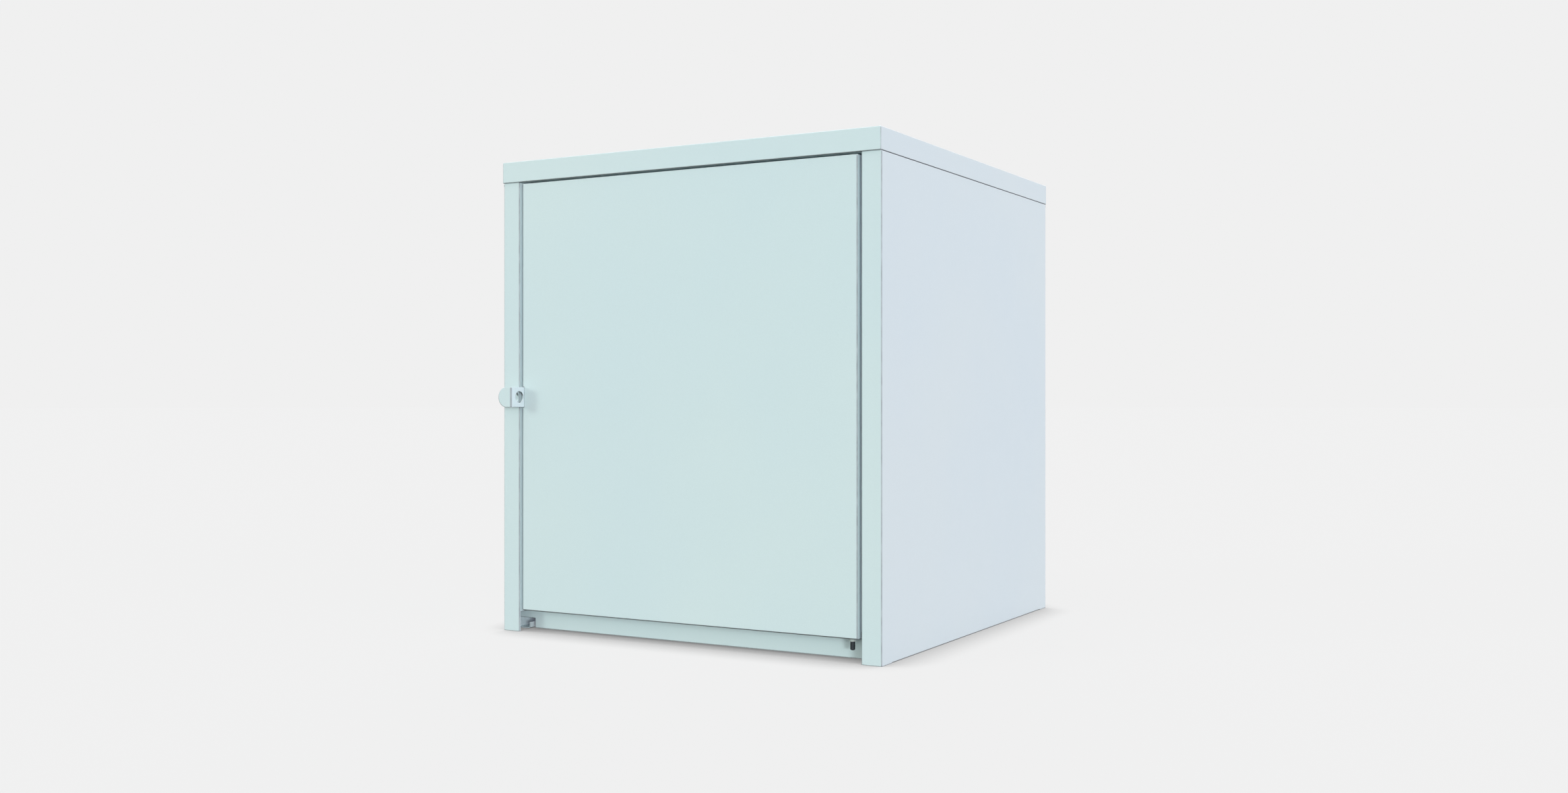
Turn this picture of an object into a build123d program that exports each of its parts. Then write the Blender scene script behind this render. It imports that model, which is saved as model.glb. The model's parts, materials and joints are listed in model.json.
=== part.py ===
from build123d import *
import os

# Small lockable cabinet of folded sheet steel with one door, hinged on its right.
# Millimetres, +Z up. The origin is on the floor, at the middle of the overall footprint, lock tab
# included. The door faces -Y.

# ---- driving dimensions ----
cabinet_width = 349.5
cabinet_height = 390.0
side_depth = 349.5            # from the posts' faces to the back flanges
sheet = 0.8                   # folded sheet of the body and the door
bend = 1.0                    # outside radius of a fold
touch = 0.1                   # slack between sheets that slide together

cap_lip = 17.24               # height of the lid's lips
cap_corner = 0.5              # rounding of the lid's vertical corners
cap_overhang = 1.3            # how far the lid stands proud at the front and at the back
reveal = 0.56                 # shadow gap between the lid's side lip and the side panel

post_width = 16.6             # face of the front posts
stop_depth = 19.5             # from the posts' faces to the flanges that the door shuts against
stop_width = 11.0
back_flange = 14.0
foot_flange = 13.75           # bottom flange of a side panel
foot_lip = 5.2

floor_top = 16.0              # top of the floor tray
rail_recess = 15.5            # the floor tray's front rail lies this far behind the posts' faces
rail_bottom = 1.4
rail_notch_height = 8.0
rail_notch_edge = 153.8       # the notches run from here out to the rail's ends

door_gap = 3.0
door_thickness = 15.0
door_bottom = 17.8
door_top = 371.3
door_bend = 1.2
door_lip = 12.0               # inner lip along the door's free edge
header_bottom = 372.4
header_lip = 14.0             # downturned lip of the header rail, behind the door
header_tab_height = 12.0      # end tabs riveted to the posts' returns

pivot_inset = 7.15            # hinge axis, from the door's hinged edge
pivot_depth = 6.5             # hinge axis, from the door's face
pin_radius = 1.83
pin_head_radius = 3.4
pin_tip = 9.0                 # lowest point of the bottom hinge pin
running_gap = 0.07            # radial, between a hinge pin and its bushes
bush_radius = 2.3
bush_flange_radius = 4.0
bush_flange = 0.8
guide_bush_drop = 2.3         # how far the guide bush shows below the door
ear_bottom = 20.0             # underside of the bottom hinge bracket's ear
plate = 1.5                   # thicker plate of brackets and the lock staple

tab_sheet = 1.0
tab_bend = 1.6                # outside radius of the tab's fold
tab_projection = 16.55
tab_height = 16.6
tab_end_radius = tab_height / 2
tab_slot_play = 0.3           # above and below the tab in the door's slot
tab_reach = 13.25             # width of the tab's outward flange
tab_centre_height = 194.35
lock_hole_radius = 4.75
lock_hole_offset = 6.0        # in front of the door's face
staple_reach = 7.0            # radius of the staple's rounded end
staple_foot_width = 8.4

shelf_top = 200.0
shelf_front_flange = 15.0
shelf_back_flange = 10.0
ledge_width = 12.0
floor_ledge_height = 8.0
shelf_ledge_height = 12.0

wall_hole_radius = 3.25
wall_hole_spacing_x = 250.0
wall_hole_spacing_z = 260.0

screw_hole = 1.9              # radii of the holes for screws, blind rivets and small rivets
rivet_hole = 1.6
small_hole = 1.2
drill_length = 6.0            # drilled both ways from the hole's place
margin = 1.0                  # how far a cutting shape stands past the metal that it cuts
cutter_size = 30.0            # larger than anything a cutter has to clear

# ---- derived places ----
overall_depth = tab_projection + side_depth + cap_overhang
front_y = tab_projection - overall_depth / 2
back_y = front_y + side_depth
middle_y = (front_y + back_y) / 2
half_width = cabinet_width / 2
inner_x = half_width - sheet
post_edge_x = half_width - post_width
stop_tip_x = post_edge_x - stop_width
stop_y = front_y + stop_depth
lip_bottom = cabinet_height - cap_lip
side_top = lip_bottom - reveal
joggle_x = inner_x - touch
roof_under = cabinet_height - sheet
door_half_width = post_edge_x - door_gap
door_back_y = front_y + door_thickness
door_inner_x = door_half_width - sheet
pivot_x = door_half_width - pivot_inset
pivot_y = front_y + pivot_depth
bush_bore = pin_radius + running_gap


def folded(points, thickness=sheet, radius=bend, side=Side.LEFT):
    """Outline of a folded strip, drawn into the open sketch. The points run along its outer face."""
    with BuildLine() as outline:
        FilletPolyline(*points, radius=radius)
        offset(amount=thickness, side=side)
    make_face(outline.edges())


def headed_fastener(head_radius, head_height, shank_radius, shank_length, recess):
    """A pan head on +Z with its shank along -Z, the seat of the head at the origin."""
    with BuildPart() as fastener:
        Cylinder(head_radius, head_height, align=(Align.CENTER, Align.CENTER, Align.MIN))
        fillet(fastener.edges().group_by(Axis.Z)[-1], head_height * 0.45)
        Cylinder(shank_radius, shank_length, align=(Align.CENTER, Align.CENTER, Align.MAX))
        chamfer(fastener.edges().group_by(Axis.Z)[0], shank_radius * 0.3)
        if recess:
            with BuildSketch(Plane.XY.offset(head_height)):
                Rectangle(head_radius * 1.1, head_radius * 0.24)
                Rectangle(head_radius * 0.24, head_radius * 1.1)
            extrude(amount=-head_height * 0.55, mode=Mode.SUBTRACT)
    return fastener.part


def hinge_bush(barrel_bottom, flange_bottom):
    """A flanged nylon bush on the hinge axis: its barrel hangs below its flange."""
    with BuildPart() as bush:
        with BuildSketch(Plane.XY.offset(barrel_bottom)):
            with Locations((pivot_x, pivot_y)):
                Circle(bush_radius)
                Circle(bush_bore, mode=Mode.SUBTRACT)
        extrude(amount=flange_bottom - barrel_bottom)
        with BuildSketch(Plane.XY.offset(flange_bottom)):
            with Locations((pivot_x, pivot_y)):
                Circle(bush_flange_radius)
                Circle(bush_bore, mode=Mode.SUBTRACT)
        extrude(amount=bush_flange)
        chamfer(bush.edges().group_by(Axis.Z)[-1], 0.15)
    return bush


def save(builder, name):
    builder.part.label = name
    export_step(builder.part, f"parts/{name}.step")


def along(direction, *points):
    """Locations at the points with their local +Z turned to the direction."""
    return Locations(*[Plane(origin=point, z_dir=direction) for point in points])


os.makedirs("parts", exist_ok=True)

catch_head_radius = 2.4
screw = headed_fastener(3.6, 2.2, screw_hole, 7.0, True)
small_screw = headed_fastener(catch_head_radius, 1.5, small_hole, 6.0, True)
rivet = headed_fastener(3.2, 1.1, rivet_hole, 2.6, False)
small_rivet = headed_fastener(2.3, 0.9, small_hole, 3.0, False)

# ---- lid ----
with BuildPart() as top_cap:
    with BuildSketch(Plane.XY.offset(lip_bottom)):
        with Locations((0, middle_y)):
            Rectangle(cabinet_width, side_depth + 2 * cap_overhang)
    extrude(amount=cap_lip)
    fillet(top_cap.edges().filter_by(Axis.Z), cap_corner)
    fillet(top_cap.faces().sort_by(Axis.Z)[-1].edges(), bend)
    with BuildSketch(Plane.XY.offset(lip_bottom)):
        with Locations((0, middle_y)):
            Rectangle(cabinet_width - 2 * sheet, side_depth + 2 * (cap_overhang - sheet))
    extrude(amount=cap_lip - sheet, mode=Mode.SUBTRACT)
save(top_cap, "top_cap")

stud_places = [
    (sign * (half_width - 9.0), y) for sign in (-1, 1) for y in (front_y + 50.0, back_y - 50.0)
]
stud_radius = 2.0
stud_length = 8.2
nut_height = 3.2
flange_under = roof_under - sheet

with BuildPart() as cap_studs:
    with BuildSketch(Plane.XY.offset(roof_under)):
        with Locations(*stud_places):
            Circle(stud_radius)
    extrude(amount=-stud_length)
    chamfer(cap_studs.edges().group_by(Axis.Z)[0], 0.4)
save(cap_studs, "cap_studs")

with BuildPart() as cap_nuts:
    with BuildSketch(Plane.XY.offset(flange_under)):
        with Locations(*stud_places):
            RegularPolygon(radius=4.0, side_count=6)
            Circle(stud_radius, mode=Mode.SUBTRACT)
    extrude(amount=-nut_height)
save(cap_nuts, "cap_nuts")

# ---- side panels: each is one folded sheet, and the left one mirrors the right one ----
foot_start = front_y + 17.3
foot_end = back_y - 16.3
post_return_bottom = floor_top + 0.2
top_flange_width = 15.0
rivet_line_x = half_width - 7.0
back_rivet_heights = (40.0, 195.0, 350.0)
staple_foot_x = -(post_edge_x + 5.4)
staple_rivet_spacing = 8.4
header_rivet_height = 380.0
header_rivet_y = front_y + 10.0
bumper_heights = (60.0, 330.0)
catch_height = 250.0
catch_x = -(stop_tip_x + stop_width / 2 - 0.4)
catch_screw_spacing = 34.0

with BuildPart() as right_side:
    with BuildSketch(Plane.XY):
        folded([
            (stop_tip_x, stop_y),
            (post_edge_x, stop_y),
            (post_edge_x, front_y),
            (half_width, front_y),
            (half_width, back_y),
            (half_width - back_flange, back_y),
        ])
    extrude(amount=roof_under - 4 * sheet)
    # the folds stop short of the floor, and the flange above the door's top makes room for the header
    with BuildSketch(Plane.XY):
        with Locations((stop_tip_x, front_y + 1.5 * bend)):
            Rectangle(2 * stop_width, stop_depth, align=(Align.MIN, Align.MIN))
    extrude(amount=post_return_bottom, mode=Mode.SUBTRACT)
    with BuildSketch(Plane.XY.offset(header_bottom - 2 * touch)):
        with Locations((stop_tip_x - margin, stop_y - margin)):
            Rectangle(stop_width + margin, 3 * margin, align=(Align.MIN, Align.MIN))
    extrude(amount=cap_lip + margin, mode=Mode.SUBTRACT)
    # above the reveal the side steps inward, so that the lid's lip lies flush with it
    with BuildSketch(Plane.XY.offset(side_top)):
        with Locations((joggle_x, middle_y)):
            Rectangle(sheet + 2 * margin, side_depth + margin, align=(Align.MIN, Align.CENTER))
    extrude(amount=cap_lip, mode=Mode.SUBTRACT)
    with BuildSketch(Plane.XZ.offset(-(front_y + 0.2))):
        with BuildLine():
            Polyline(
                (half_width, side_top - 2.0),
                (half_width, side_top),
                (joggle_x, side_top),
                (joggle_x, roof_under),
                (half_width - top_flange_width, roof_under),
                (half_width - top_flange_width, flange_under),
                (joggle_x - sheet, flange_under),
                (joggle_x - sheet, side_top - sheet),
                (inner_x, side_top - sheet),
                (inner_x, side_top - 2.0),
                close=True,
            )
        make_face()
    extrude(amount=-(side_depth - 0.4))
    # bottom flange with its upturned lip
    with BuildSketch(Plane.XY):
        with Locations((half_width + margin, foot_start)):
            Rectangle(5 * margin, foot_end - foot_start, align=(Align.MAX, Align.MIN))
    extrude(amount=2 * bend, mode=Mode.SUBTRACT)
    with BuildSketch(Plane.XZ.offset(-foot_start)):
        folded([
            (half_width, 2 * bend),
            (half_width, 0),
            (half_width - foot_flange, 0),
            (half_width - foot_flange, foot_lip),
        ], side=Side.RIGHT)
    extrude(amount=-(foot_end - foot_start))
    # holes for the lid's studs, the back rivets and the header's rivet
    with BuildSketch(Plane.XY.offset(roof_under)):
        with Locations(*[place for place in stud_places if place[0] > 0]):
            Circle(stud_radius + 0.25)
    extrude(amount=-2 * sheet, mode=Mode.SUBTRACT)
    with along((0, -1, 0), *[(rivet_line_x, back_y, z) for z in back_rivet_heights]):
        Cylinder(rivet_hole, drill_length, mode=Mode.SUBTRACT)
    with along((1, 0, 0), (post_edge_x, header_rivet_y, header_rivet_height)):
        Cylinder(small_hole, drill_length, mode=Mode.SUBTRACT)
save(right_side, "right_side_panel")

with BuildPart() as left_side:
    add(right_side.part.mirror(Plane.YZ))
    # holes that only the lock side has: staple rivets and catch screws
    with along((0, -1, 0), *[
        (staple_foot_x, front_y, tab_centre_height + sign * staple_rivet_spacing / 2) for sign in (-1, 1)
    ]):
        Cylinder(small_hole, drill_length, mode=Mode.SUBTRACT)
    with along((0, -1, 0), *[
        (catch_x, stop_y, catch_height + sign * catch_screw_spacing / 2) for sign in (-1, 1)
    ]):
        Cylinder(small_hole, drill_length, mode=Mode.SUBTRACT)
save(left_side, "left_side_panel")

# ---- back panel ----
back_panel_y = back_y - sheet
back_panel_bottom = 2.0
back_panel_half = inner_x - margin
wall_hole_centre_z = cabinet_height / 2
floor_rivet_height = 9.0
floor_rivet_x = 100.0
back_panel_gap = 5.0          # below the roof and above the floor, together

with BuildPart() as back_panel:
    with BuildSketch(Plane.XZ.offset(-back_panel_y)):
        with Locations((0, back_panel_bottom)):
            Rectangle(2 * back_panel_half, roof_under - back_panel_gap, align=(Align.CENTER, Align.MIN))
        with Locations((0, wall_hole_centre_z)):
            with GridLocations(wall_hole_spacing_x, wall_hole_spacing_z, 2, 2):
                Circle(wall_hole_radius, mode=Mode.SUBTRACT)
        with Locations(*[(sign * rivet_line_x, z) for sign in (-1, 1) for z in back_rivet_heights]):
            Circle(rivet_hole, mode=Mode.SUBTRACT)
        with Locations(*[(sign * floor_rivet_x, floor_rivet_height) for sign in (-1, 1)]):
            Circle(rivet_hole, mode=Mode.SUBTRACT)
    extrude(amount=sheet)
save(back_panel, "back_panel")

with BuildPart() as back_rivets:
    with along((0, 1, 0), *[(sign * rivet_line_x, back_y, z) for sign in (-1, 1) for z in back_rivet_heights]):
        add(rivet)
    with along((0, 1, 0), *[(sign * floor_rivet_x, back_panel_y, floor_rivet_height) for sign in (-1, 1)]):
        add(rivet)
save(back_rivets, "back_rivets")

# ---- floor tray ----
floor_back_y = back_panel_y - sheet - 0.05
floor_half = inner_x - 0.25
ledge_screw_x = half_width - 8.0
ledge_screw_places = [
    (sign * ledge_screw_x, y) for sign in (-1, 1) for y in (front_y + 70.0, back_y - 60.0)
]
bracket_front_y = front_y + 19.0
bracket_screw_y = (bracket_front_y + 9.0, bracket_front_y + 19.0)
bracket_screw_x = pivot_x - 13.0

with BuildPart() as bottom_panel:
    with BuildSketch(Plane.YZ.offset(-floor_half)):
        folded([
            (front_y + rail_recess, rail_bottom),
            (front_y + rail_recess, floor_top),
            (floor_back_y, floor_top),
            (floor_back_y, back_panel_bottom),
        ], side=Side.RIGHT)
    extrude(amount=2 * floor_half)
    for sign in (-1, 1):
        with BuildSketch(Plane.XZ.offset(-(front_y + rail_recess - margin))):
            with Locations((sign * rail_notch_edge, rail_bottom - margin)):
                Rectangle(
                    cutter_size,
                    rail_notch_height + margin,
                    align=(Align.MIN if sign > 0 else Align.MAX, Align.MIN),
                )
        extrude(amount=-3 * margin, mode=Mode.SUBTRACT)
    with BuildSketch(Plane.XY.offset(floor_top)):
        with Locations(*ledge_screw_places):
            Circle(screw_hole)
        with Locations(*[(sign * bracket_screw_x, y) for sign in (-1, 1) for y in bracket_screw_y]):
            Circle(screw_hole)
    extrude(amount=-2 * sheet, mode=Mode.SUBTRACT)
    with along((0, 1, 0), *[(sign * floor_rivet_x, floor_back_y, floor_rivet_height) for sign in (-1, 1)]):
        Cylinder(rivet_hole, drill_length, mode=Mode.SUBTRACT)
save(bottom_panel, "bottom_panel")


def side_ledges(top, height, start_y, end_y):
    """Two folded angles against the side panels, with their flat on top."""
    with BuildPart() as ledges:
        for sign in (-1, 1):
            with BuildSketch(Plane.XZ.offset(-start_y)):
                folded([
                    (sign * inner_x, top - height),
                    (sign * inner_x, top),
                    (sign * (inner_x - ledge_width), top),
                ], side=Side.LEFT if sign > 0 else Side.RIGHT)
            extrude(amount=-(end_y - start_y))
        with BuildSketch(Plane.XY.offset(top)):
            with Locations(*ledge_screw_places):
                Circle(screw_hole)
        extrude(amount=-2 * sheet, mode=Mode.SUBTRACT)
    return ledges


floor_ledges = side_ledges(floor_top - sheet, floor_ledge_height, front_y + 40.0, back_y - 30.0)
save(floor_ledges, "floor_ledges")

with BuildPart() as floor_screws:
    with along((0, 0, 1), *[(x, y, floor_top) for x, y in ledge_screw_places]):
        add(screw)
save(floor_screws, "floor_screws")

# ---- shelf ----
shelf_front_y = front_y + 26.0
shelf_back_y = back_panel_y - sheet - 2.0
shelf_half = inner_x - 1.2
shelf_hem = 8.0
flange_end_x = inner_x - ledge_width - 2.0
flange_remainder = 0.5         # web left above the notch in the front flange

with BuildPart() as shelf:
    with BuildSketch(Plane.YZ.offset(-shelf_half)):
        folded([
            (shelf_front_y + shelf_hem, shelf_top - shelf_front_flange),
            (shelf_front_y, shelf_top - shelf_front_flange),
            (shelf_front_y, shelf_top),
            (shelf_back_y, shelf_top),
            (shelf_back_y, shelf_top - shelf_back_flange),
        ], side=Side.RIGHT)
    extrude(amount=2 * shelf_half)
    # the front flange stops short of the ledges
    for sign in (-1, 1):
        with BuildSketch(Plane.XZ.offset(-(shelf_front_y - margin))):
            with Locations((sign * flange_end_x, shelf_top - shelf_front_flange - margin)):
                Rectangle(
                    cutter_size,
                    shelf_front_flange - flange_remainder,
                    align=(Align.MIN if sign > 0 else Align.MAX, Align.MIN),
                )
        extrude(amount=-(shelf_hem + 4 * margin), mode=Mode.SUBTRACT)
    with BuildSketch(Plane.XY.offset(shelf_top)):
        with Locations(*ledge_screw_places):
            Circle(screw_hole)
    extrude(amount=-2 * sheet, mode=Mode.SUBTRACT)
save(shelf, "shelf")

shelf_ledges = side_ledges(shelf_top - sheet, shelf_ledge_height, front_y + 30.0, back_y - 20.0)
save(shelf_ledges, "shelf_ledges")

with BuildPart() as shelf_screws:
    with along((0, 0, 1), *[(x, y, shelf_top) for x, y in ledge_screw_places]):
        add(screw)
save(shelf_screws, "shelf_screws")

# ---- header rail above the door ----
header_front_y = front_y - cap_overhang + sheet
header_half = post_edge_x - 0.05
header_play = 0.3              # each side, between the lip and the stop flanges

with BuildPart() as header_rail:
    with BuildSketch(Plane.YZ.offset(-header_half)):
        folded([
            (header_front_y, roof_under - 4 * sheet),
            (header_front_y, header_bottom),
            (stop_y + sheet, header_bottom),
            (stop_y + sheet, header_bottom - header_lip),
        ], side=Side.LEFT)
    extrude(amount=2 * header_half)
    for sign in (-1, 1):
        # the downturned lip ends between the stop flanges
        with BuildSketch(Plane.XZ.offset(-(stop_y - margin))):
            with Locations((sign * (stop_tip_x - header_play), header_bottom - touch)):
                Rectangle(
                    cutter_size,
                    header_lip + margin,
                    align=(Align.MIN if sign > 0 else Align.MAX, Align.MAX),
                )
        extrude(amount=-4 * margin, mode=Mode.SUBTRACT)
        # end tab against the post's return
        with BuildSketch(Plane.XY.offset(header_bottom)):
            with Locations((sign * header_half, front_y + 4.0)):
                Rectangle(sheet, header_tab_height, align=(Align.MAX if sign > 0 else Align.MIN, Align.MIN))
        extrude(amount=header_tab_height + bend)
    with along((1, 0, 0), *[
        (sign * header_half, header_rivet_y, header_rivet_height) for sign in (-1, 1)
    ]):
        Cylinder(small_hole, drill_length, mode=Mode.SUBTRACT)
    # hinge hole, and its spare for a door hung on the left
    with BuildSketch(Plane.XY.offset(header_bottom)):
        with Locations((pivot_x, pivot_y), (-pivot_x, pivot_y)):
            Circle(bush_radius)
    extrude(amount=sheet, mode=Mode.SUBTRACT)
save(header_rail, "header_rail")

with BuildPart() as header_rivets:
    for sign in (-1, 1):
        with along((-sign, 0, 0), (sign * (header_half - sheet), header_rivet_y, header_rivet_height)):
            add(small_rivet)
save(header_rivets, "header_rivets")

top_hinge_bush = hinge_bush(header_bottom - 0.6, header_bottom + sheet)
save(top_hinge_bush, "top_hinge_bush")

# ---- bottom hinge bracket: flat on the floor tray, stepped up and forward into the door pan ----
ear_top = ear_bottom + plate
ear_radius = 5.2
neck_right_x = pivot_x - 2.6
neck_left_x = pivot_x - 13.0
base_left_x = pivot_x - 21.0

with BuildPart() as bottom_hinge_bracket:
    with BuildSketch(Plane.YZ.offset(base_left_x)):
        folded([
            (front_y + 1.2, ear_top),
            (bracket_front_y + plate, ear_top),
            (bracket_front_y + plate, floor_top + plate),
            (bracket_front_y + 27.0, floor_top + plate),
        ], thickness=plate, radius=1.7, side=Side.RIGHT)
    extrude(amount=pivot_x + ear_radius - base_left_x)
    with BuildSketch(Plane.XY.offset(floor_top)):
        with Locations((pivot_x, pivot_y)):
            Circle(ear_radius)
        with Locations((neck_left_x, pivot_y - ear_radius)):
            Rectangle(neck_right_x - neck_left_x, 40.0 + ear_radius, align=(Align.MIN, Align.MIN))
        with Locations((base_left_x, bracket_front_y - 0.2)):
            Rectangle(neck_right_x - base_left_x, 28.0, align=(Align.MIN, Align.MIN))
        with Locations((pivot_x, pivot_y)):
            Circle(bush_radius, mode=Mode.SUBTRACT)
        with Locations(*[(bracket_screw_x, y) for y in bracket_screw_y]):
            Circle(screw_hole, mode=Mode.SUBTRACT)
    extrude(amount=10.0, mode=Mode.INTERSECT)
save(bottom_hinge_bracket, "bottom_hinge_bracket")

with BuildPart() as bracket_screws:
    with along((0, 0, 1), *[(bracket_screw_x, y, floor_top + plate) for y in bracket_screw_y]):
        add(screw)
save(bracket_screws, "bracket_screws")

bottom_thrust_bush = hinge_bush(ear_bottom, ear_top)
save(bottom_thrust_bush, "bottom_thrust_bush")

# ---- lock staple on the left post ----
staple_ear_x = -(post_edge_x + plate)       # flush with the post's return
staple_y = front_y - lock_hole_offset

with BuildPart() as lock_staple:
    with BuildSketch(Plane.YZ.offset(staple_ear_x)):
        with Locations((staple_y, tab_centre_height)):
            Circle(staple_reach)
        with Locations((front_y, tab_centre_height)):
            Rectangle(lock_hole_offset, 2 * staple_reach, align=(Align.MAX, Align.CENTER))
            Rectangle(lock_hole_offset, 2 * staple_reach, align=(Align.MIN, Align.CENTER), mode=Mode.SUBTRACT)
    extrude(amount=plate)
    with BuildSketch(Plane.XZ.offset(-front_y)):
        with Locations((staple_ear_x + plate, tab_centre_height)):
            Rectangle(staple_foot_width, 2 * staple_reach, align=(Align.MAX, Align.CENTER))
    extrude(amount=plate)
    with BuildSketch(Plane.YZ.offset(staple_ear_x)):
        with Locations((staple_y, tab_centre_height)):
            Circle(lock_hole_radius)
    extrude(amount=plate, mode=Mode.SUBTRACT)
    with along((0, -1, 0), *[
        (staple_foot_x, front_y, tab_centre_height + sign * staple_rivet_spacing / 2) for sign in (-1, 1)
    ]):
        Cylinder(small_hole, drill_length, mode=Mode.SUBTRACT)
save(lock_staple, "lock_staple")

with BuildPart() as staple_rivets:
    with along((0, -1, 0), *[
        (staple_foot_x, front_y - plate, tab_centre_height + sign * staple_rivet_spacing / 2)
        for sign in (-1, 1)
    ]):
        add(small_rivet)
save(staple_rivets, "staple_rivets")

# ---- magnetic catch and buffers on the left stop flange ----
catch_face_y = door_back_y + 0.05
catch_depth = stop_y - catch_face_y
housing_depth = catch_depth - 0.6
catch_head_depth = 1.7
pocket_height = 22.0
pole_thickness = 1.2
magnet_thickness = 3.2
magnet_backing = 1.2           # housing left behind the magnet
magnet_set_back = 0.8          # of the magnet's face from the poles' tips
housing_width = 9.6
housing_height = 44.0
bumper_radius = 4.8

with BuildPart() as magnet_housing:
    with BuildSketch(Plane.XZ.offset(-stop_y)):
        with Locations((catch_x, catch_height)):
            RectangleRounded(housing_width, housing_height, 2.0)
    extrude(amount=housing_depth)
    fillet(magnet_housing.faces().sort_by(Axis.Y)[0].edges(), 0.5)
    with BuildSketch(Plane.XZ.offset(-(stop_y - catch_depth - margin))):
        with Locations((catch_x, catch_height)):
            Rectangle(magnet_thickness + 2 * pole_thickness, pocket_height)
    extrude(amount=-catch_depth, mode=Mode.SUBTRACT)
    with along((0, -1, 0), *[
        (catch_x, stop_y - housing_depth, catch_height + sign * catch_screw_spacing / 2)
        for sign in (-1, 1)
    ]):
        CounterBoreHole(small_hole, catch_head_radius + touch, catch_head_depth)
save(magnet_housing, "magnet_housing")

with BuildPart() as magnet_block:
    with BuildSketch(Plane.XZ.offset(-(stop_y - magnet_backing))):
        with Locations((catch_x, catch_height)):
            Rectangle(magnet_thickness, pocket_height)
    extrude(amount=catch_depth - magnet_backing - magnet_set_back)
save(magnet_block, "magnet_block")

with BuildPart() as magnet_poles:
    with BuildSketch(Plane.XZ.offset(-(stop_y - magnet_backing))):
        with Locations(*[
            (catch_x + sign * (magnet_thickness + pole_thickness) / 2, catch_height) for sign in (-1, 1)
        ]):
            Rectangle(pole_thickness, pocket_height)
    extrude(amount=catch_depth - magnet_backing)
save(magnet_poles, "magnet_poles")

with BuildPart() as catch_screws:
    with along((0, -1, 0), *[
        (
            catch_x,
            stop_y - housing_depth + catch_head_depth,
            catch_height + sign * catch_screw_spacing / 2,
        )
        for sign in (-1, 1)
    ]):
        add(small_screw)
save(catch_screws, "catch_screws")

with BuildPart() as door_bumpers:
    with BuildSketch(Plane.XZ.offset(-stop_y)):
        with Locations(*[(catch_x, z) for z in bumper_heights]):
            Circle(bumper_radius)
    extrude(amount=catch_depth)
    fillet(door_bumpers.edges().group_by(Axis.Y)[0], 1.4)
save(door_bumpers, "door_bumpers")

# ---- door: a pan with an inner lip along its free edge ----
tab_inner_x = -door_inner_x
notch_start_y = pivot_y - 0.5
hinge_plate_bottom = ear_top + bush_flange + 0.1
hinge_plate_rivet_heights = (hinge_plate_bottom + 10.0, hinge_plate_bottom + 20.0)
hinge_plate_rivet_y = front_y + 9.0
tab_rivet_y = front_y + 9.0
tab_rivet_spacing = 9.0

with BuildPart() as door_panel:
    with BuildSketch(Plane.XY.offset(door_bottom)):
        with Locations((0, front_y)):
            Rectangle(2 * door_half_width, door_thickness, align=(Align.CENTER, Align.MIN))
    extrude(amount=door_top - door_bottom)
    fillet(door_panel.edges().filter_by(Axis.Y), 0.6)
    fillet(door_panel.faces().sort_by(Axis.Y)[0].edges(), door_bend)
    with BuildSketch(Plane.XY.offset(door_bottom + sheet)):
        with Locations((0, front_y + sheet)):
            Rectangle(2 * door_inner_x, door_thickness, align=(Align.CENTER, Align.MIN))
    extrude(amount=door_top - door_bottom - 2 * sheet, mode=Mode.SUBTRACT)
    with BuildSketch(Plane.XY.offset(door_bottom + 3.0)):
        folded([
            (-(door_half_width - door_lip), door_back_y),
            (-door_half_width, door_back_y),
            (-door_half_width, door_back_y - 3.0),
        ])
    extrude(amount=door_top - door_bottom - 6.0)
    # notch in the hinged return, to swing past the bracket's neck
    with BuildSketch(Plane.YZ.offset(door_half_width + margin)):
        with Locations((notch_start_y, door_bottom - margin)):
            Rectangle(
                cutter_size,
                hinge_plate_bottom - door_bottom + margin,
                align=(Align.MIN, Align.MIN),
            )
    extrude(amount=-(margin + sheet), mode=Mode.SUBTRACT)
    # slot for the lock tab
    with BuildSketch(Plane.XZ.offset(-(front_y - margin))):
        with Locations((tab_inner_x - touch, tab_centre_height)):
            Rectangle(tab_sheet + 2 * touch, tab_height + 2 * tab_slot_play, align=(Align.MIN, Align.CENTER))
    extrude(amount=-(margin + 2 * door_bend), mode=Mode.SUBTRACT)
    # holes for the pins and the rivets
    with BuildSketch(Plane.XY.offset(door_bottom)):
        with Locations((pivot_x, pivot_y)):
            Circle(bush_radius)
    extrude(amount=sheet, mode=Mode.SUBTRACT)
    with BuildSketch(Plane.XY.offset(door_top)):
        with Locations((pivot_x, pivot_y)):
            Circle(pin_radius)
    extrude(amount=-sheet, mode=Mode.SUBTRACT)
    with along((1, 0, 0), *[
        (-door_half_width, tab_rivet_y, tab_centre_height + sign * tab_rivet_spacing / 2)
        for sign in (-1, 1)
    ], *[(door_half_width, hinge_plate_rivet_y, z) for z in hinge_plate_rivet_heights]):
        Cylinder(small_hole, drill_length, mode=Mode.SUBTRACT)
save(door_panel, "door_panel")

stiffener_half = 30.0
stiffener_crown = 20.0
stiffener_end_gap = 22.0       # from each end of the door

with BuildPart() as door_stiffener:
    with BuildSketch(Plane.XY.offset(door_bottom + stiffener_end_gap)):
        folded([
            (-stiffener_half, front_y + 2 * sheet),
            (-stiffener_crown, front_y + 2 * sheet),
            (-stiffener_crown, door_back_y - 2.0),
            (stiffener_crown, door_back_y - 2.0),
            (stiffener_crown, front_y + 2 * sheet),
            (stiffener_half, front_y + 2 * sheet),
        ], side=Side.RIGHT)
    extrude(amount=door_top - door_bottom - 2 * stiffener_end_gap)
save(door_stiffener, "door_stiffener")

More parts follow.
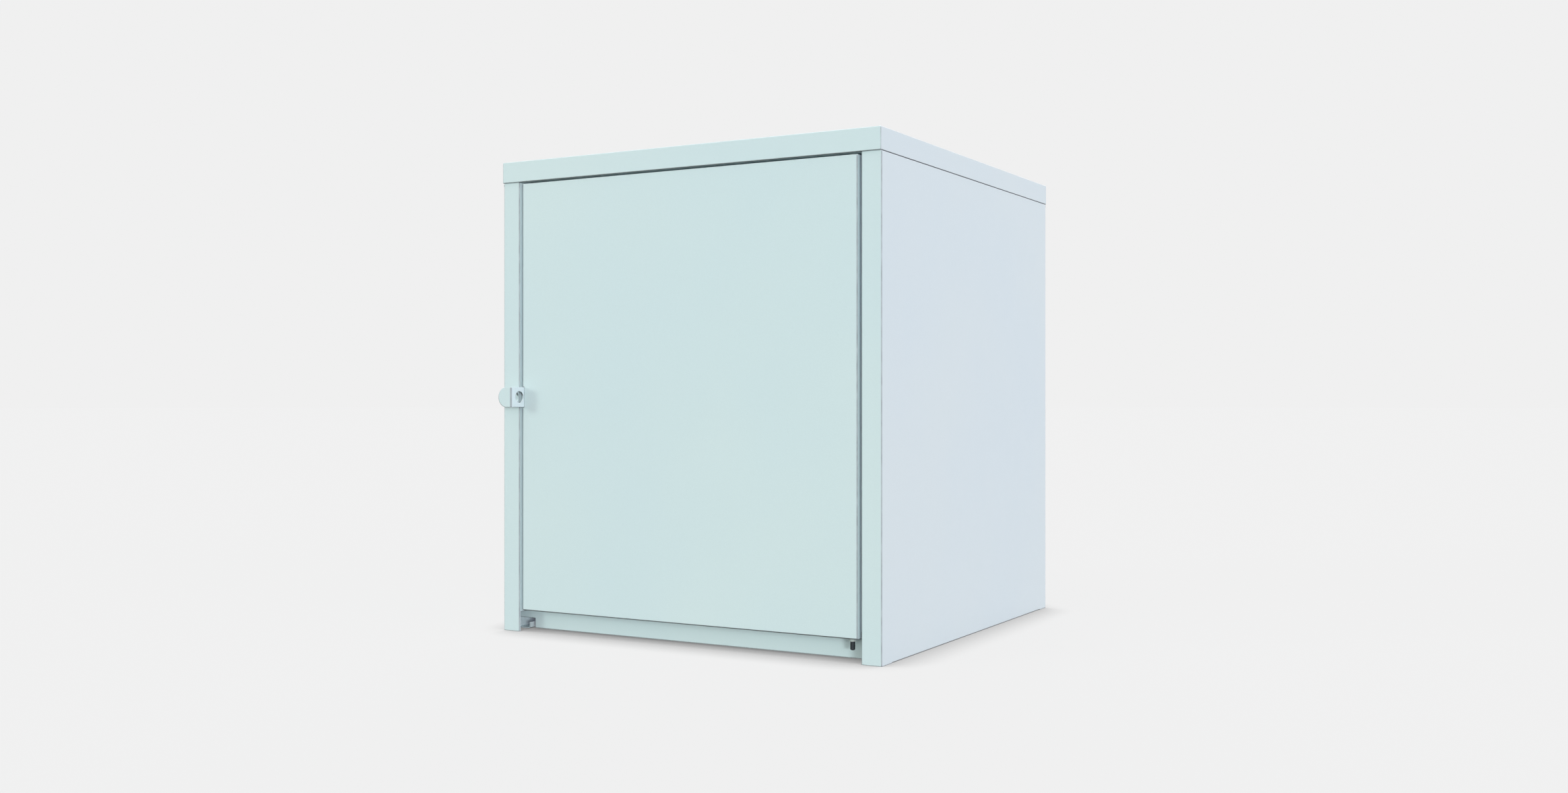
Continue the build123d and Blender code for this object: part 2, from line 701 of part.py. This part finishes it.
with BuildPart() as lock_tab:
    with BuildSketch(Plane.XY.offset(tab_centre_height - tab_height / 2)):
        folded([
            (tab_inner_x + tab_sheet, door_back_y - 1.5),
            (tab_inner_x + tab_sheet, front_y - tab_projection),
            (tab_inner_x + tab_sheet - tab_reach, front_y - tab_projection),
        ], thickness=tab_sheet, radius=tab_bend, side=Side.RIGHT)
    extrude(amount=tab_height)
    # the outward flange ends in a half circle
    with BuildSketch(Plane.XZ.offset(-(front_y - tab_projection - margin))):
        with Locations((tab_inner_x + tab_sheet - tab_reach + tab_end_radius, tab_centre_height)):
            Circle(tab_end_radius)
            Rectangle(cutter_size, tab_height, align=(Align.MIN, Align.CENTER))
    extrude(amount=-2 * cutter_size, mode=Mode.INTERSECT)
    with BuildSketch(Plane.YZ.offset(tab_inner_x)):
        with Locations((staple_y, tab_centre_height)):
            Circle(lock_hole_radius)
    extrude(amount=tab_sheet, mode=Mode.SUBTRACT)
    with along((1, 0, 0), *[
        (tab_inner_x, tab_rivet_y, tab_centre_height + sign * tab_rivet_spacing / 2) for sign in (-1, 1)
    ]):
        Cylinder(small_hole, drill_length, mode=Mode.SUBTRACT)
save(lock_tab, "lock_tab")

with BuildPart() as tab_rivets:
    with along((-1, 0, 0), *[
        (-door_half_width, tab_rivet_y, tab_centre_height + sign * tab_rivet_spacing / 2)
        for sign in (-1, 1)
    ]):
        add(small_rivet)
save(tab_rivets, "tab_rivets")

with BuildPart() as door_hinge_plate:
    with BuildSketch(Plane.XZ.offset(-(front_y + 2.0))):
        folded([
            (pivot_x - 7.5, hinge_plate_bottom),
            (door_inner_x, hinge_plate_bottom),
            (door_inner_x, hinge_plate_bottom + 26.0),
        ], thickness=plate, radius=1.7)
    extrude(amount=-(door_thickness - 3.0))
    with BuildSketch(Plane.XY.offset(hinge_plate_bottom)):
        with Locations((pivot_x, pivot_y)):
            Circle(pin_radius + 0.02)
    extrude(amount=plate, mode=Mode.SUBTRACT)
    with along((1, 0, 0), *[(door_inner_x, hinge_plate_rivet_y, z) for z in hinge_plate_rivet_heights]):
        Cylinder(small_hole, drill_length, mode=Mode.SUBTRACT)
save(door_hinge_plate, "door_hinge_plate")

with BuildPart() as hinge_plate_rivets:
    with along((1, 0, 0), *[(door_half_width, hinge_plate_rivet_y, z) for z in hinge_plate_rivet_heights]):
        add(small_rivet)
save(hinge_plate_rivets, "hinge_plate_rivets")


def hinge_pin(seat, head_height, shank_end):
    """A headed pin on the hinge axis. Its head's seat is at one height and its tip at the other."""
    direction = 1 if shank_end > seat else -1
    with BuildPart() as pin:
        with BuildSketch(Plane.XY.offset(seat)):
            with Locations((pivot_x, pivot_y)):
                Circle(pin_head_radius)
        extrude(amount=-direction * head_height)
        with BuildSketch(Plane.XY.offset(seat)):
            with Locations((pivot_x, pivot_y)):
                Circle(pin_radius)
        extrude(amount=shank_end - seat)
        ends = pin.edges().group_by(Axis.Z)
        tip, crown = (ends[-1], ends[0]) if direction > 0 else (ends[0], ends[-1])
        chamfer(tip + crown, 0.6)
    return pin


bottom_hinge_pin = hinge_pin(hinge_plate_bottom + plate, 1.6, pin_tip)
save(bottom_hinge_pin, "bottom_hinge_pin")

pin_guide_bush = hinge_bush(door_bottom - guide_bush_drop, door_bottom + sheet)
save(pin_guide_bush, "pin_guide_bush")

top_hinge_pin = hinge_pin(door_top - sheet, 1.2, door_top + 6.7)
save(top_hinge_pin, "top_hinge_pin")
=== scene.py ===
import json
import math

import bmesh
import bpy
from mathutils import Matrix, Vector


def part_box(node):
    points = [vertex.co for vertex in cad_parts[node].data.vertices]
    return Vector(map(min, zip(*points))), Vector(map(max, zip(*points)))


# Looks of a small lockable steel cabinet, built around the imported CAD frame. Metres, +Z up,
# the door faces -Y and is hinged on +X.

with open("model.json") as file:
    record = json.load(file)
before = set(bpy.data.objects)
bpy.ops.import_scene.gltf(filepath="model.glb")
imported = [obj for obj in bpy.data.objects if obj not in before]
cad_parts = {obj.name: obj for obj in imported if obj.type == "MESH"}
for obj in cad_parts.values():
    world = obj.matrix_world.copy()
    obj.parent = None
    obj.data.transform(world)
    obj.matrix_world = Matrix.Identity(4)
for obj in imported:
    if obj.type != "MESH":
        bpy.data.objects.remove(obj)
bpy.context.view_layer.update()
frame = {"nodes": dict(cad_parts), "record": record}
nodes = frame["nodes"]

MM = 0.001

# ---- colours, linear ----
PAINT = (0.590, 0.715, 0.730)
PAINT_WARM = (0.606, 0.724, 0.725)
PAINT_EDGE_WEAR_AND_SHADE = (0.22, 0.26, 0.27)      # folds and cut edges that face sideways: edge wear with painted shade
PAINT_HIGHLIGHT = (0.80, 0.90, 0.92)    # painted highlight on folds facing up
# near-black used as painted shade, under down-facing folds and in slots
PAINTED_SHADE_DARK = (0.045, 0.055, 0.055)
ZINC = (0.66, 0.67, 0.68)
ZINC_BLUE = (0.55, 0.60, 0.67)
ZINC_YELLOW = (0.70, 0.68, 0.60)
ZINC_PAINTED_SHADE = (0.16, 0.16, 0.16)
BLACK_OXIDE = (0.022, 0.028, 0.033)
BLACK_RUBBED = (0.16, 0.17, 0.18)
NYLON = (0.40, 0.48, 0.48)
NYLON_AGED = (0.44, 0.48, 0.43)
NYLON_PAINTED_SHADE = (0.16, 0.18, 0.18)
FERRITE = (0.055, 0.055, 0.060)
FERRITE_PORE = (0.02, 0.02, 0.022)
FERRITE_DUST = (0.10, 0.10, 0.105)
RUBBER = (0.030, 0.030, 0.032)
RUBBER_BLOOM = (0.11, 0.11, 0.11)

# ---- how strongly the paint changes, with its painted shade and highlight ----
FOLD_WEAR_AND_SHADE = 0.86
UNDERSIDE_PAINTED_SHADE = 0.80
TOP_EDGE_PAINTED_HIGHLIGHT = 0.75
SLOT_PAINTED_SHADE = 0.85
PAINT_EDGE_RADIUS = 1.1 * MM
SLOT_REACH = 1.5 * MM

# ---- backdrop and floor ----
BACKDROP_GREY = 0.871
BELOW_GREY = 0.12
ABOVE_GREY = 0.30
BELOW_HORIZON = (-0.25, -0.02)       # sines of the elevations where the backdrop fades in
OVERHEAD_BAND = (0.57, 0.77)         # and out
FLOOR_DIFFUSE = 0.06
FLOOR_GLOW = 0.819
CONTACT_REACH = 50 * MM
CONTACT_SHADE = 0.28                 # share of the floor's glow that is left under the cabinet

# ---- lights ----
KEY_STRENGTH = 1.63
KEY_TINT = (0.906, 0.972, 1.0)
LEFT_STRENGTH = 0.75
LEFT_TINT = (0.846, 1.0, 0.923)
SIDE_STRENGTH = 0.50
SIDE_FILL_STRENGTH = 0.435
SIDE_TINT = (1.0, 0.70, 0.961)
OVERHEAD_STRENGTH = 0.6
OVERHEAD_TINT = (1.0, 1.0, 1.0)
BACK_STRENGTH = 0.85
BACK_TINT = (0.95, 0.98, 1.0)

# ---- camera ----
CAMERA_LENS = 34.2074
CAMERA_SHIFT_Y = 0.000887
CAMERA_X = 0.6402
CAMERA_IN_FRONT = 1.14464            # of the middle of the side panel
CAMERA_HEIGHT = 0.1938
CAMERA_TURN = 0.513                  # radians towards the hinged side


class Shader:
    """A node material under construction, textured in the row frame's metres."""

    def __init__(self, name):
        self.material = bpy.data.materials.new(name)
        self.material.use_nodes = True
        self.tree = self.material.node_tree
        self.tree.nodes.clear()
        coordinates = self.add("ShaderNodeTexCoord")
        self.place = coordinates.outputs["Object"]
        self.facing = coordinates.outputs["Normal"]

    def add(self, kind, **settings):
        node = self.tree.nodes.new(kind)
        for key, value in settings.items():
            setattr(node, key, value)
        return node

    def feed(self, socket, value):
        """Links a socket to another, or sets it to a plain value."""
        if isinstance(value, bpy.types.NodeSocket):
            self.tree.links.new(value, socket)
        elif isinstance(value, tuple) and len(value) == 3 and socket.type == "RGBA":
            socket.default_value = (*value, 1)
        else:
            socket.default_value = value

    def sum(self, operation, a, b=0.0, clamp=False):
        node = self.add("ShaderNodeMath", operation=operation, use_clamp=clamp)
        self.feed(node.inputs[0], a)
        self.feed(node.inputs[1], b)
        return node.outputs[0]

    def stretched(self, scale):
        node = self.add("ShaderNodeMapping")
        self.feed(node.inputs["Vector"], self.place)
        node.inputs["Scale"].default_value = scale
        return node.outputs["Vector"]

    def noise(self, scale, detail=2.0, roughness=0.5, vector=None):
        node = self.add("ShaderNodeTexNoise")
        self.feed(node.inputs["Vector"], vector or self.place)
        node.inputs["Scale"].default_value = scale
        node.inputs["Detail"].default_value = detail
        node.inputs["Roughness"].default_value = roughness
        return node.outputs["Fac"]

    def cells(self, scale, feature="F1"):
        node = self.add("ShaderNodeTexVoronoi", feature=feature)
        self.feed(node.inputs["Vector"], self.place)
        node.inputs["Scale"].default_value = scale
        return node.outputs["Distance"]

    def spread(self, value, low, high, to_low=0.0, to_high=1.0):
        """Maps low..high of a value to to_low..to_high, held at the ends."""
        node = self.add("ShaderNodeMapRange", clamp=True)
        names = ("Value", "From Min", "From Max", "To Min", "To Max")
        for name, part in zip(names, (value, low, high, to_low, to_high)):
            self.feed(node.inputs[name], part)
        return node.outputs[0]

    def blend(self, share, a, b, mode="MIX"):
        node = self.add("ShaderNodeMix", data_type="RGBA", blend_type=mode)
        self.feed(node.inputs["Factor"], share)
        self.feed(node.inputs["A"], a)
        self.feed(node.inputs["B"], b)
        return node.outputs["Result"]

    def relief(self, height, depth, normal=None):
        """Bump from a height of 0..1, with its real depth in metres."""
        node = self.add("ShaderNodeBump")
        self.feed(node.inputs["Height"], height)
        node.inputs["Strength"].default_value = 1.0
        node.inputs["Distance"].default_value = depth
        if normal:
            self.feed(node.inputs["Normal"], normal)
        return node.outputs["Normal"]

    def edges(self, radius):
        """How much a point lies on a cut edge, 0..1, and how far the edge there faces up, -1..1."""
        rounded = self.add("ShaderNodeBevel", samples=6)
        rounded.inputs["Radius"].default_value = radius
        turned = self.add("ShaderNodeVectorMath", operation="DOT_PRODUCT")
        self.feed(turned.inputs[0], rounded.outputs["Normal"])
        self.feed(turned.inputs[1], self.add("ShaderNodeNewGeometry").outputs["Normal"])
        upward = self.add("ShaderNodeSeparateXYZ")
        self.feed(upward.inputs[0], rounded.outputs["Normal"])
        return self.spread(turned.outputs["Value"], 0.995, 0.90), upward.outputs["Z"]

    def folds(self):
        """1 on rounded folds, 0 on flats square to the part."""
        size = self.add("ShaderNodeVectorMath", operation="ABSOLUTE")
        self.feed(size.inputs[0], self.facing)
        axes = self.add("ShaderNodeSeparateXYZ")
        self.feed(axes.inputs[0], size.outputs[0])
        across = self.sum("MAXIMUM", axes.outputs["X"], axes.outputs["Y"])
        widest = self.sum("MAXIMUM", across, axes.outputs["Z"])
        return self.spread(widest, 0.992, 0.93)

    def recess(self, distance):
        """0 in corners and gaps, 1 in the open."""
        shade = self.add("ShaderNodeAmbientOcclusion", samples=8)
        shade.inputs["Distance"].default_value = distance
        return shade.outputs["AO"]

    def surface(self, **inputs):
        """Ends the material in a Principled shader and returns the material."""
        shader = self.add("ShaderNodeBsdfPrincipled")
        for name, value in inputs.items():
            self.feed(shader.inputs[name.replace("_", " ")], value)
        out = self.add("ShaderNodeOutputMaterial")
        self.tree.links.new(shader.outputs["BSDF"], out.inputs["Surface"])
        return self.material


def powder_coat():
    """Green-grey satin powder coat: orange peel, slow tone changes, folds worn thin and darkened
    with painted shade, painted highlight on upward folds, painted shade in slots.
    """
    s = Shader("powder_coat")
    tone = s.spread(s.noise(5.0, 3.0), 0.35, 0.65)
    colour = s.blend(tone, PAINT, PAINT_WARM)
    grain = s.spread(s.noise(2600.0, 1.0), 0.3, 0.7, 0.985, 1.015)
    colour = s.blend(1.0, colour, grain_colour(s, grain), "MULTIPLY")
    edge, upward = s.edges(PAINT_EDGE_RADIUS)
    on_fold = s.sum("MAXIMUM", edge, s.folds())
    patchy = s.spread(s.noise(90.0, 3.0), 0.30, 0.62, 0.70, 1.0)
    not_up = s.spread(upward, 0.10, 0.45, 1.0, 0.0)
    # Folds and cut edges not facing up are darkened: partly worn thin paint, partly painted shade.
    worn = s.sum("MULTIPLY", s.sum("MULTIPLY", on_fold, patchy), not_up)
    colour = s.blend(s.sum("MULTIPLY", worn, FOLD_WEAR_AND_SHADE), colour, PAINT_EDGE_WEAR_AND_SHADE)
    # Painted shade: folds and edges facing down are darkened as if in shadow.
    under = s.sum("MULTIPLY", on_fold, s.spread(upward, -0.08, -0.40))
    colour = s.blend(s.sum("MULTIPLY", under, UNDERSIDE_PAINTED_SHADE), colour, PAINTED_SHADE_DARK)
    # Painted highlight: folds facing up are lightened as if catching light from above.
    painted_highlight = s.sum("MULTIPLY", on_fold, s.spread(upward, 0.15, 0.55))
    colour = s.blend(s.sum("MULTIPLY", painted_highlight, TOP_EDGE_PAINTED_HIGHLIGHT), colour, PAINT_HIGHLIGHT)
    # Painted shade: narrow slots and gaps darken through an occlusion mask.
    painted_slot_shade = s.spread(s.recess(SLOT_REACH), 0.12, 0.46, SLOT_PAINTED_SHADE, 0.0)
    colour = s.blend(painted_slot_shade, colour, PAINTED_SHADE_DARK)
    peel = s.noise(620.0, 2.0, 0.45)
    wave = s.noise(9.0, 1.0)
    normal = s.relief(wave, 0.25 * MM)
    normal = s.relief(peel, 0.035 * MM, normal)
    normal = s.relief(s.noise(3200.0, 1.0), 0.004 * MM, normal)
    rubbed = s.spread(s.noise(22.0, 4.0, 0.6), 0.35, 0.7, 0.36, 0.47)
    gloss = s.sum("ADD", rubbed, s.spread(s.noise(1500.0, 1.0), 0.3, 0.7, -0.02, 0.02))
    return s.surface(Base_Color=colour, Roughness=gloss, Normal=normal, IOR=1.48)


def grain_colour(s, value):
    """A grey of that value."""
    node = s.add("ShaderNodeCombineColor")
    for channel in ("Red", "Green", "Blue"):
        s.feed(node.inputs[channel], value)
    return node.outputs["Color"]


def zinc_plate():
    """Bright zinc plate: blue and straw passivation clouds, rolling lines and small scratches."""
    s = Shader("zinc_plate")
    colour = s.blend(s.spread(s.noise(120.0, 3.0), 0.4, 0.7), ZINC, ZINC_BLUE)
    colour = s.blend(s.spread(s.noise(75.0, 2.0), 0.5, 0.75, 0.0, 0.6), colour, ZINC_YELLOW)
    lines = s.noise(1.0, 2.0, 0.6, s.stretched((2600.0, 160.0, 900.0)))
    spangle = s.cells(900.0)
    rolled = s.spread(lines, 0.3, 0.7, 0.24, 0.38)
    rough = s.sum("ADD", rolled, s.spread(spangle, 0.0, 0.8, 0.0, 0.08))
    # Painted shade: the plate darkens in recesses through an occlusion mask.
    colour = s.blend(s.spread(s.recess(3.0 * MM), 0.2, 0.9, 0.45, 0.0), colour, ZINC_PAINTED_SHADE)
    normal = s.relief(lines, 0.006 * MM)
    normal = s.relief(spangle, 0.004 * MM, normal)
    return s.surface(Base_Color=colour, Metallic=1.0, Roughness=rough, Normal=normal)


def black_oxide():
    """Oil-blackened turned steel, rubbed brighter along its edges."""
    s = Shader("black_oxide")
    edge, _ = s.edges(0.5 * MM)
    worn = s.sum("MULTIPLY", edge, s.spread(s.noise(700.0, 3.0), 0.35, 0.6))
    colour = s.blend(s.sum("MULTIPLY", worn, 0.7), BLACK_OXIDE, BLACK_RUBBED)
    turning = s.noise(1.0, 1.0, 0.5, s.stretched((120.0, 120.0, 5200.0)))
    rough = s.spread(turning, 0.3, 0.7, 0.24, 0.36)
    return s.surface(
        Base_Color=colour, Metallic=0.55, Roughness=rough, Normal=s.relief(turning, 0.002 * MM)
    )


def nylon():
    """Grey nylon with a fine moulded texture, handling marks and painted shade in its recesses."""
    s = Shader("nylon")
    colour = s.blend(s.spread(s.noise(160.0, 3.0), 0.35, 0.75), NYLON, NYLON_AGED)
    # Painted shade: the nylon darkens in recesses through an occlusion mask.
    colour = s.blend(s.spread(s.recess(2.0 * MM), 0.1, 0.8, 0.35, 0.0), colour, NYLON_PAINTED_SHADE)
    normal = s.relief(s.noise(2400.0, 2.0), 0.012 * MM)
    rough = s.spread(s.noise(300.0, 3.0), 0.3, 0.7, 0.38, 0.52)
    return s.surface(Base_Color=colour, Roughness=rough, Normal=normal, IOR=1.53)


def ferrite():
    """Sintered magnet: dark matt ceramic with pores."""
    s = Shader("ferrite")
    pores = s.spread(s.cells(1600.0), 0.0, 0.25, 0.0, 1.0)
    colour = s.blend(pores, FERRITE_PORE, FERRITE)
    colour = s.blend(s.spread(s.noise(400.0, 3.0), 0.5, 0.8, 0.0, 0.4), colour, FERRITE_DUST)
    return s.surface(
        Base_Color=colour, Roughness=s.spread(s.noise(900.0, 2.0), 0.3, 0.7, 0.55, 0.75),
        Normal=s.relief(pores, 0.02 * MM),
    )


def rubber():
    """Moulded black rubber with a dusty bloom."""
    s = Shader("rubber")
    bloom = s.spread(s.noise(260.0, 4.0, 0.6), 0.45, 0.8, 0.0, 0.35)
    colour = s.blend(bloom, RUBBER, RUBBER_BLOOM)
    return s.surface(
        Base_Color=colour, Roughness=s.spread(bloom, 0.0, 0.35, 0.62, 0.82),
        Normal=s.relief(s.noise(1900.0, 2.0), 0.015 * MM),
    )


FINISHES = {
    "painted_steel": powder_coat(),
    "zinc_steel": zinc_plate(),
    "black_steel": black_oxide(),
    "nylon": nylon(),
    "ferrite": ferrite(),
    "rubber": rubber(),
}

for entry in frame["record"]["subparts"]:
    cad = nodes[entry["node"]]
    for material_slot in cad.material_slots:
        material_slot.material = FINISHES[entry["material_slot"]]

# ---- stage ----


def floor_material():
    """A glowing pale floor with a painted contact shadow where the cabinet stands close over it."""
    s = Shader("studio_floor")
    diffuse = s.add("ShaderNodeBsdfDiffuse")
    s.feed(diffuse.inputs["Color"], (FLOOR_DIFFUSE, FLOOR_DIFFUSE, FLOOR_DIFFUSE))
    glow = s.add("ShaderNodeEmission")
    # Painted contact shadow: the glow is dimmed by an occlusion mask near the cabinet.
    open_air = s.spread(s.recess(CONTACT_REACH), 0.10, 0.84, CONTACT_SHADE, 1.0)
    s.feed(glow.inputs["Color"], grain_colour(s, open_air))
    s.feed(glow.inputs["Strength"], FLOOR_GLOW)
    both = s.add("ShaderNodeAddShader")
    s.feed(both.inputs[0], diffuse.outputs[0])
    s.feed(both.inputs[1], glow.outputs[0])
    out = s.add("ShaderNodeOutputMaterial")
    s.tree.links.new(both.outputs[0], out.inputs["Surface"])
    return s.material


def make_floor(radius=30.0, sides=64):
    """A wide disc under the cabinet. Its glow lights nothing, so undersides stay dark."""
    mesh = bpy.data.meshes.new("studio_floor")
    disc = bmesh.new()
    bmesh.ops.create_circle(disc, cap_ends=True, segments=sides, radius=radius)
    disc.to_mesh(mesh)
    disc.free()
    floor = bpy.data.objects.new("studio_floor", mesh)
    bpy.context.scene.collection.objects.link(floor)
    mesh.materials.append(floor_material())
    floor.visible_diffuse = False


make_floor()


def make_world():
    """A plain even backdrop round the horizon, dimmer overhead and below."""
    world = bpy.data.worlds.new("studio")
    bpy.context.scene.world = world
    world.use_nodes = True
    tree = world.node_tree
    heading = tree.nodes.new("ShaderNodeSeparateXYZ")
    ray = tree.nodes.new("ShaderNodeTexCoord")
    tree.links.new(ray.outputs["Generated"], heading.inputs[0])
    darker = tree.nodes.new("ShaderNodeMath")
    darker.operation = "MINIMUM"
    ramps = (
        (BELOW_HORIZON, BELOW_GREY, BACKDROP_GREY),
        (OVERHEAD_BAND, BACKDROP_GREY, ABOVE_GREY),
    )
    for socket, (band, first, last) in zip(darker.inputs, ramps):
        ramp = tree.nodes.new("ShaderNodeMapRange")
        names = ("From Min", "From Max", "To Min", "To Max")
        for name, value in zip(names, (*band, first, last)):
            ramp.inputs[name].default_value = value
        tree.links.new(heading.outputs["Z"], ramp.inputs["Value"])
        tree.links.new(ramp.outputs[0], socket)
    background = tree.nodes["Background"]
    background.inputs["Color"].default_value = (1, 1, 1, 1)
    tree.links.new(darker.outputs[0], background.inputs["Strength"])


make_world()


def soft_sun(name, towards, strength, colour, spread_degrees, highlights=True, shadows=True):
    """A broad light without falloff, shining along a direction."""
    light = bpy.data.lights.new(name, "SUN")
    light.energy = strength
    light.color = colour
    light.angle = math.radians(spread_degrees)
    light.use_shadow = shadows
    lamp = bpy.data.objects.new(name, light)
    lamp.visible_glossy = highlights
    lamp.rotation_euler = Vector(towards).to_track_quat("-Z", "Y").to_euler()
    bpy.context.scene.collection.objects.link(lamp)


def from_direction(azimuth, elevation):
    """The way light travels from there. Azimuth 0 faces the door, 90 the hinged side."""
    a, e = math.radians(azimuth), math.radians(elevation)
    return (-math.sin(a) * math.cos(e), math.cos(a) * math.cos(e), -math.sin(e))


key = from_direction(46, 3)
left = from_direction(-42, 12)
side = from_direction(86, 8)
overhead = from_direction(-20, 75)
back = from_direction(-155, 20)
soft_sun("key_softbox", key, KEY_STRENGTH, KEY_TINT, 12)
soft_sun("left_softbox", left, LEFT_STRENGTH, LEFT_TINT, 14, highlights=False)
soft_sun("side_softbox", side, SIDE_STRENGTH, SIDE_TINT, 30)
# Without shadows, so that it reaches into the narrow gaps beside the door.
soft_sun("side_fill", side, SIDE_FILL_STRENGTH, SIDE_TINT, 30, shadows=False)
soft_sun("overhead_softbox", overhead, OVERHEAD_STRENGTH, OVERHEAD_TINT, 40)
soft_sun("back_softbox", back, BACK_STRENGTH, BACK_TINT, 30, highlights=False)

# ---- camera ----
side_low, side_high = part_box("left_side_panel")
middle_y = (side_low.y + side_high.y) / 2

camera_data = bpy.data.cameras.new("camera")
camera_data.sensor_width = 36.0
camera_data.lens = CAMERA_LENS
camera_data.shift_y = CAMERA_SHIFT_Y
camera_data.clip_start = 0.05
camera_data.clip_end = 100.0
camera = bpy.data.objects.new("camera", camera_data)
camera.location = (CAMERA_X, middle_y - CAMERA_IN_FRONT, CAMERA_HEIGHT)
camera.rotation_euler = (math.radians(90), 0, CAMERA_TURN)
bpy.context.scene.collection.objects.link(camera)
bpy.context.scene.camera = camera

bpy.context.scene.view_settings.view_transform = "Standard"
bpy.context.scene.view_settings.look = "None"
